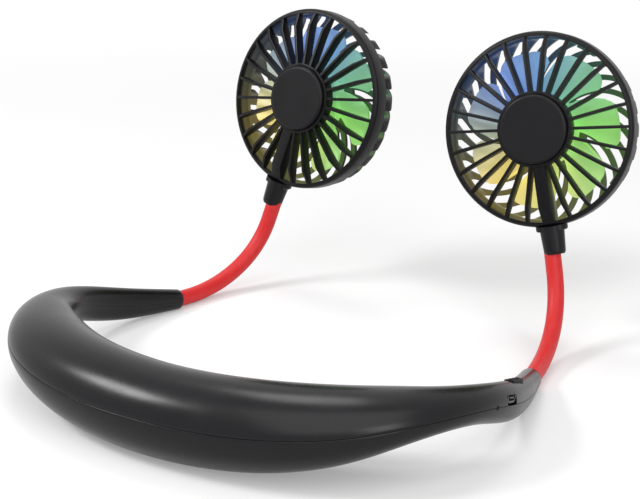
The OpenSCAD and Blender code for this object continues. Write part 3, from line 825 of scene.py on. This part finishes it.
@dataclass(frozen=True)
class Hose:
    """A bendable hose between an arm's tip and a head.

    It leaves the arm and enters the collar straight, and bends in between. Its bends lie at the hinges of the
    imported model, and each stretch of the skin runs from the middle of one link to the middle of the next.
    """

    side: Side
    band: Band
    pose: HeadPose
    diameter: float = 6.8 * MM
    links: int = 7
    lead: float = 6.5 * MM
    grip: float = 5.8 * MM
    yaw: float = 10.0
    tilt: float = 1.8
    pull_start: float = 17 * MM
    pull_end: float = 22 * MM
    stem: float = 50.8 * MM
    stem_back: float = 3.6 * MM
    steps: int = 240
    curve_steps: int = 40
    round_steps: int = 12

    @property
    def bodies(self) -> list[str]:
        """Returns the bodies that the hose joins, from the band to the head."""
        word = self.side.word
        return ["band", *(f"{word}_hose_link_{link}" for link in range(1, self.links + 1)), f"{word}_head"]

    def _ends(self) -> tuple[Vector, Vector, Vector, Vector]:
        """Returns where the free hose starts and ends, and its direction at each."""
        start = self.side.mirrored(self.band.section(self.band.tip).centre)
        yaw, tilt = math.radians(self.yaw), math.radians(self.tilt)
        away = Vector((-math.sin(yaw) * math.cos(tilt), math.cos(yaw) * math.cos(tilt), -math.sin(tilt)))
        end = self.pose.centre - self.stem * self.pose.up - self.stem_back * self.pose.facing
        return start, end, self.side.mirrored(away), self.pose.up

    def _free_points(self) -> list[Vector]:
        """Returns points along the free hose, from the arm's tip to the collar."""
        start, end, away, into = self._ends()
        first, last = start + self.lead * away, end - self.lead * into
        pulls = (first, first + self.pull_start * away, last - self.pull_end * into, last)
        points = [start]
        for step in range(self.steps + 1):
            t = step / self.steps
            weights = ((1 - t) ** 3, 3 * (1 - t) ** 2 * t, 3 * (1 - t) * t**2, t**3)
            points.append(sum((w * pull for w, pull in zip(weights, pulls)), Vector()))
        return [*points, end]

    def _at(self, points: list[Vector], distance: float) -> Vector:
        """Returns the point at a distance along the free hose."""
        walked = 0.0
        for here, there in zip(points, points[1:]):
            step = (there - here).length
            if walked + step >= distance:
                return here.lerp(there, (distance - walked) / step)
            walked += step
        return points[-1]

    def _stretch(self, name: str, first: float, last: float) -> Piece:
        """Builds the skin between two shares of the hose's whole length."""
        start, end, away, into = self._ends()
        clear_selection()
        bpy.ops.curve.primitive_bezier_curve_add()
        piece = bpy.context.active_object
        piece.name = piece.data.name = name
        spline = piece.data.splines[0]
        spline.bezier_points.add(2)
        third = (self.grip + self.lead) / 3
        knots = (
            (start - self.grip * away, third * away, third * away),
            (start + self.lead * away, third * away, self.pull_start * away),
            (end - self.lead * into, self.pull_end * into, third * into),
            (end + self.grip * into, third * into, third * into),
        )
        for point, (place, before, after) in zip(spline.bezier_points, knots):
            point.handle_left_type = point.handle_right_type = "FREE"
            point.co, point.handle_left, point.handle_right = place, place - before, place + after
        piece.data.dimensions = "3D"
        piece.data.resolution_u = piece.data.render_resolution_u = self.curve_steps
        piece.data.bevel_depth = self.diameter / 2
        piece.data.bevel_resolution = self.round_steps
        piece.data.use_fill_caps = True
        piece.data.bevel_factor_mapping_start = piece.data.bevel_factor_mapping_end = "SPLINE"
        piece.data.bevel_factor_start, piece.data.bevel_factor_end = first, last
        bpy.ops.object.convert(target="MESH")
        return bpy.context.active_object

    def build(self, material: Material) -> None:
        """Builds the stretches with a material and hides the links."""
        points = self._free_points()
        length = sum((there - here).length for here, there in zip(points, points[1:]))
        whole = length + 2 * self.grip
        bent = length - 2 * self.lead
        hinges = [self.lead + bent * hinge / self.links for hinge in range(self.links + 1)]
        joins = [-self.grip, *((a + b) / 2 for a, b in zip(hinges, hinges[1:])), length + self.grip]
        word = self.side.word
        nodes = [f"{word}_hose_root", *(f"{word}_hose_link_{link}" for link in range(1, self.links + 1))]
        for number, (first, last) in enumerate(zip(joins, joins[1:])):
            name = f"{word}_hose_skin_{number + 1}"
            piece = self._stretch(name, (first + self.grip) / whole, (last + self.grip) / whole)
            smooth(piece, 60)
            piece.data.materials.append(material)
            start, end = self._at(points, max(first, 0.0)), self._at(points, min(last, length))
            self.bodies[number]
            self.bodies[number + 1]
            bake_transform(piece)
            hidden = [nodes[number]] + ([f"{word}_hose_end"] if number == self.links else [])
            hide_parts(*hidden)
            LOG.info("%s: %d faces", name, len(piece.data.polygons))


@dataclass(frozen=True)
class Impeller:
    """The translucent impeller of one head, in the head's own frame: a cup and swept, cambered blades."""

    side: Side
    pose: HeadPose
    blades: int = 7
    hub_r: float = 14.8 * MM
    hub_back: float = -11.5 * MM
    hub_front: float = -5.3 * MM
    hub_wall: float = 1.2 * MM
    boss_r: float = 3.0 * MM
    boss_front: float = -8.1 * MM
    tip_r: float = 32.0 * MM
    rest: float = 13.0
    deep: float = 6.4 * MM
    thick: float = 1.2 * MM
    corner: float = 6.0 * MM
    sweep: float = -16.0
    root_half: float = 22.0
    tip_half: float = 20.5
    camber: float = 0.8 * MM
    sink: float = 0.5 * MM
    overhang: float = 0.3 * MM
    fade: float = 0.2
    end_share: float = 0.96
    blade_edge: float = 0.35 * MM
    cup_edge: float = 0.4 * MM
    cup_sides: int = 96
    rows: int = 16
    columns: int = 30

    @property
    def middle(self) -> float:
        """Returns the height of the blades' middle in the head's frame."""
        return self.hub_back + self.deep / 2 - self.overhang

    def _edge(self, across: float) -> float:
        """Returns the radius of the blade's rounded end at a place from -1 to 1 across it."""
        straight = 1 - self.corner / (self.tip_r * math.sin(math.radians(self.tip_half)))
        share = max(0.0, (abs(across) - straight) / (1 - straight))
        return self.tip_r - self.corner * (1 - math.sqrt(max(0.0, 1 - self.end_share * share * share)))

    def _blade_point(self, along: float, across: float) -> Vector:
        """Returns a point of the blade's middle surface, from its root to its end and from edge to edge."""
        root = self.hub_r - self.sink
        radius = root + (self._edge(across) - root) * along
        half = self.root_half + (self.tip_half - self.root_half) * along
        turn = math.radians(self.rest + self.sweep * along + across * half)
        twist = across * self.deep / 2 * (1 - self.fade * along)
        height = self.middle + twist + self.camber * (1 - across * across)
        return Vector((radius * math.cos(turn), radius * math.sin(turn), height))

    def _blade(self) -> Piece:
        """Builds the first blade."""
        clear_selection()
        bpy.ops.mesh.primitive_grid_add(x_subdivisions=self.columns, y_subdivisions=self.rows, size=1.0)
        blade = bpy.context.active_object
        for vertex in blade.data.vertices:
            spread = math.sin(math.pi / 2 * (2 * vertex.co.x))
            vertex.co = self._blade_point(vertex.co.y + 0.5, spread)
        wall = blade.modifiers.new("wall", "SOLIDIFY")
        wall.thickness, wall.offset = self.thick, 0.0
        bpy.ops.object.modifier_apply(modifier=wall.name)
        bevel(blade, self.blade_edge, 3)
        return blade

    def _cup(self) -> Piece:
        """Builds the cup that carries the blades, with its boss."""
        clear_selection()
        depth = self.hub_front - self.hub_back
        bpy.ops.mesh.primitive_cylinder_add(
            vertices=self.cup_sides,
            radius=self.hub_r,
            depth=depth,
            location=(0, 0, self.hub_back + depth / 2),
        )
        cup = bpy.context.active_object
        bpy.ops.object.transform_apply(location=True, rotation=True, scale=True)
        select_faces(cup, lambda face: face.normal.z > 0.9)
        bpy.ops.object.mode_set(mode="EDIT")
        bpy.ops.mesh.inset(thickness=self.hub_wall)
        bpy.ops.mesh.extrude_region_move(TRANSFORM_OT_translate={"value": (0, 0, self.hub_wall - depth)})
        bpy.ops.mesh.inset(thickness=self.hub_r - self.hub_wall - self.boss_r)
        rise = self.boss_front - self.hub_back - self.hub_wall
        bpy.ops.mesh.extrude_region_move(TRANSFORM_OT_translate={"value": (0, 0, rise)})
        bpy.ops.object.mode_set(mode="OBJECT")
        bevel(cup, self.cup_edge, 3)
        return cup

    def build(self, material: Material) -> None:
        """Builds the impeller with a material in place of its node."""
        cup, first = self._cup(), self._blade()
        parts = [cup, first]
        for number in range(1, self.blades):
            blade = first.copy()
            blade.data = first.data.copy()
            bpy.context.collection.objects.link(blade)
            blade.data.transform(Matrix.Rotation(math.tau * number / self.blades, 4, "Z"))
            parts.append(blade)
        piece = joined(f"{self.side.word}_impeller_skin", parts)
        piece.data.transform(self.pose.place())
        smooth(piece)
        piece.data.materials.append(material)
        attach(piece, f"{self.side.word}_impeller")
        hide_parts(f"{self.side.word}_impeller")
        LOG.info("%s: %d faces", piece.name, len(piece.data.polygons))


HEAD_BLACK: Colour = (0.0040, 0.0036, 0.0046)
FINISHES = (
    MouldedPlastic("band_plastic", (0.0034, 0.0030, 0.0040), gloss=0.22, haze=0.05, shine=0.24),
    MouldedPlastic("head_plastic", HEAD_BLACK, gloss=0.34, haze=0.07, shine=0.19),
    MouldedPlastic("button_plastic", (0.004, 0.004, 0.005), gloss=0.5, haze=0.08, shine=0.12),
    Silicone(
        "hose_silicone", (0.56, 0.016, 0.017), gloss=0.38, haze=0.16, shine=0.3, dust=(0.62, 0.045, 0.045)
    ),
    Metal("steel", (0.46, 0.46, 0.48), gloss=0.25),
    Metal("motor_can", (0.36, 0.36, 0.37), gloss=0.35),
    Metal("bush_bronze", (0.55, 0.36, 0.15), gloss=0.35),
    MouldedPlastic("cell_wrap", (0.03, 0.22, 0.11), gloss=0.3),
    MouldedPlastic("board_lacquer", (0.010, 0.085, 0.035), gloss=0.28),
    MouldedPlastic("light_lens", (0.75, 0.75, 0.72), gloss=0.2),
    MouldedPlastic("dark_lens", (0.002, 0.002, 0.003), gloss=0.25, shine=0.05),
    # The socket's metal is darker than steel: partly the dark inside of the socket, partly painted shade of its
    # recess.
    Metal("port_metal", (0.13, 0.13, 0.14), gloss=0.42),
    MouldedPlastic("wire_sleeve", (0.30, 0.02, 0.02), gloss=0.4),
)


@dataclass(frozen=True)
class Head:
    """A caged fan head: its plastic, its blades and the coloured light painted on them."""

    side: Side
    pose: HeadPose

    def _lit(self, part: str, tint: Colour, **light: Any) -> Material:
        """Makes the material of a part of this head with the coloured lights painted on it."""
        name = f"{self.side.word}_{part}"
        return LitPlastic(name, tint, gloss=0.35, haze=0.1, pose=self.pose, **light).build()

    def dress(self, finishes: dict[str, Material]) -> None:
        """Gives each node of the head its finish, out of the shared materials by their names."""
        word = self.side.word
        # Painted light: the hub lamps' light is painted as emission on the grilles' inner walls, and as
        # emission and base colour on the blades.
        rear_painted_light = {"depth": (-15.3 * MM, -14.4 * MM), "reach": (37.2 * MM, 38.2 * MM)}
        front_painted_light = {"depth": (-2.0 * MM, -3.4 * MM), "reach": (37.6 * MM, 37.8 * MM)}
        blade = self._lit("blade", (0.62, 0.66, 0.62), glow=0.54, clear=0.15, body=0.80, shine=0.4)
        rear = self._lit("rear", HEAD_BLACK, glow=0.16, shine=0.16, **rear_painted_light)
        front = self._lit("front", HEAD_BLACK, glow=0.10, shine=0.17, **front_painted_light)
        dress(f"{word}_impeller", blade)
        Impeller(self.side, self.pose).build(blade)
        dress(f"{word}_rear_grille", rear)
        dress(f"{word}_front_grille", front)
        soften(f"{word}_front_grille", f"{word}_head", 0.14 * MM)
        soften(f"{word}_rear_grille", f"{word}_head", 0.20 * MM)
        shared = {
            "hub_cap": "head_plastic",
            "collar": "head_plastic",
            "light_board": "light_lens",
            "lights": "light_lens",
            "motor": "motor_can",
            "motor_bush": "bush_bronze",
            "motor_shaft": "steel",
            "hose_ferrule": "steel",
            "hose_end": "hose_silicone",
            "hose_root": "hose_silicone",
            **{f"hose_link_{link}": "hose_silicone" for link in range(1, 8)},
        }
        for node, finish in shared.items():
            dress(f"{word}_{node}", finishes[finish])
        LOG.info("%s head dressed", word)


@dataclass(frozen=True)
class Lamp:
    """A soft box.

    Attributes:
        name: the lamp's name.
        place: where it hangs, in metres.
        size: its width and height, in metres.
        power: its power, in watts.
    """

    name: str
    place: tuple[float, float, float]
    size: tuple[float, float]
    power: float

    def hang(self, aim: Vector) -> None:
        """Hangs the lamp so that it faces a point."""
        clear_selection()
        place = Vector(self.place)
        bpy.ops.object.light_add(type="AREA", location=place)
        lamp = bpy.context.active_object
        lamp.name = self.name
        lamp.data.shape = "RECTANGLE"
        lamp.data.size, lamp.data.size_y = self.size
        lamp.data.energy = self.power
        lamp.rotation_euler = (aim - place).to_track_quat("-Z", "Y").to_euler()


LAMPS = (
    Lamp("key", (-0.70, -0.43, 0.75), (0.36, 0.22), 6.5),
    Lamp("top", (-0.29, 0.42, 1.05), (0.4, 0.4), 3.0),
    Lamp("front", (0.92, -0.43, 0.37), (0.4, 0.4), 2.0),
    Lamp("canopy", (0.45, -0.50, 0.95), (1.4, 1.4), 10.0),
)


@dataclass(frozen=True)
class Studio:
    """The white floor and backdrop, the soft lamps and the camera.

    Attributes:
        focal_px: the focal length, in pixels of the photograph.
        frame_px: the width of the photograph, in pixels.
        sensor: the width of the camera's sensor, in millimetres.
        ambient: the strength of the surroundings as a light.
        ring: the Y of the middle of the rings in which the floor fades.
        fade: the radii between which the floor fades into the backdrop.
        veil: the share of white that the floor has next to the object.
    """

    eye: tuple[float, float, float] = (0.2910, -0.3585, 0.2199)
    target: tuple[float, float, float] = (0.0192, 0.0705, 0.0571)
    focal_px: float = 1467.0
    frame_px: float = 640.0
    sensor: float = 36.0
    middle: tuple[float, float, float] = (0.0, 0.06, 0.03)
    ambient: float = 0.36
    ring: float = 0.07
    fade: tuple[float, float] = (0.25, 0.80)
    veil: float = 0.25

    def floor(self) -> None:
        """Builds the floor, which fades into the white backdrop away from the object."""
        clear_selection()
        bpy.ops.mesh.primitive_plane_add(size=6.0, location=(0, 0, 0))
        plane = bpy.context.active_object
        plane.name = "floor"
        graph = Graph(bpy.data.materials.new("floor_white"))
        shade = graph.noise(0.4, 2.0)
        inputs = {
            "Base Color": graph.mix(shade, (0.86, 0.86, 0.86), (0.88, 0.88, 0.88)),
            "Roughness": shade * 0.1 + 0.6,
            "Specular IOR Level": 0.0,
        }
        paint = graph.shader("ShaderNodeBsdfPrincipled", inputs)
        white = graph.shader("ShaderNodeEmission", {"Color": (*WHITE, 1.0), "Strength": 1.0})
        place = {0: graph.position()}
        across, along = (graph.term("ShaderNodeSeparateXYZ", {}, place, axis) for axis in "XY")
        far = across.length(along - self.ring).between(*self.fade) * (1 - self.veil) + self.veil
        mixed = graph.shader("ShaderNodeMixShader", {0: far * graph.seen(), 1: paint, 2: white})
        plane.data.materials.append(graph.surface(mixed))

    def world(self) -> None:
        """Sets the surroundings: white where they are seen, and dimmer as a light."""
        world = bpy.data.worlds.new("studio")
        bpy.context.scene.world = world
        graph = Graph(world)
        dim, white = (
            graph.shader("ShaderNodeBackground", {"Color": (*WHITE, 1.0), "Strength": strength})
            for strength in (self.ambient, 1.0)
        )
        both = graph.shader("ShaderNodeMixShader", {0: graph.seen(), 1: dim, 2: white})
        graph.surface(both, "ShaderNodeOutputWorld")

    def camera(self) -> None:
        """Sets the camera at the photograph's place and angle."""
        clear_selection()
        eye, target = Vector(self.eye), Vector(self.target)
        bpy.ops.object.camera_add(location=eye)
        camera = bpy.context.active_object
        camera.name = "photograph"
        camera.rotation_euler = (target - eye).to_track_quat("-Z", "Y").to_euler()
        camera.data.sensor_fit = "HORIZONTAL"
        camera.data.sensor_width = self.sensor
        camera.data.lens = self.focal_px / self.frame_px * self.sensor
        camera.data.clip_start, camera.data.clip_end = 0.01, 20.0
        bpy.context.scene.camera = camera

    def build(self) -> None:
        """Sets up the whole studio."""
        bpy.context.scene.view_settings.view_transform = "Standard"
        self.floor()
        self.world()
        for lamp in LAMPS:
            lamp.hang(Vector(self.middle))
        self.camera()
        LOG.info("studio ready")


def dress_band(band: Band, finishes: dict[str, Material]) -> None:
    """Builds the band's smooth shells and gives its nodes their finishes, out of the shared materials."""
    for node, up in (("upper_shell", 1), ("lower_shell", -1)):
        dress(node, finishes["band_plastic"])
        piece = band.shell(node, up, finishes["band_plastic"])
        smooth(piece)
        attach(piece, "band")
        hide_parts(node)
        LOG.info("%s: %d faces", piece.name, len(piece.data.polygons))
    shared = {
        "band_screws": "steel",
        "battery_cells": "cell_wrap",
        "control_board": "board_lacquer",
        "charging_socket": "port_metal",
        "speed_button": "button_plastic",
        "button_switch": "button_plastic",
        "charge_light": "dark_lens",
        "band_wiring": "wire_sleeve",
    }
    for node, finish in shared.items():
        dress(node, finishes[finish])


def main() -> None:
    """Builds the scene, piece by piece."""
    logging.basicConfig(level=logging.INFO, format="%(name)s: %(message)s")
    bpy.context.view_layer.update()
    Studio().build()
    finishes = {finish.name: finish.build() for finish in FINISHES}
    band = Band()
    dress_band(band, finishes)
    for side in Side:
        pose = head_pose(side)
        Hose(side, band, pose).build(finishes["hose_silicone"])
        Head(side, pose).dress(finishes)


if __name__ == "__main__":
    main()
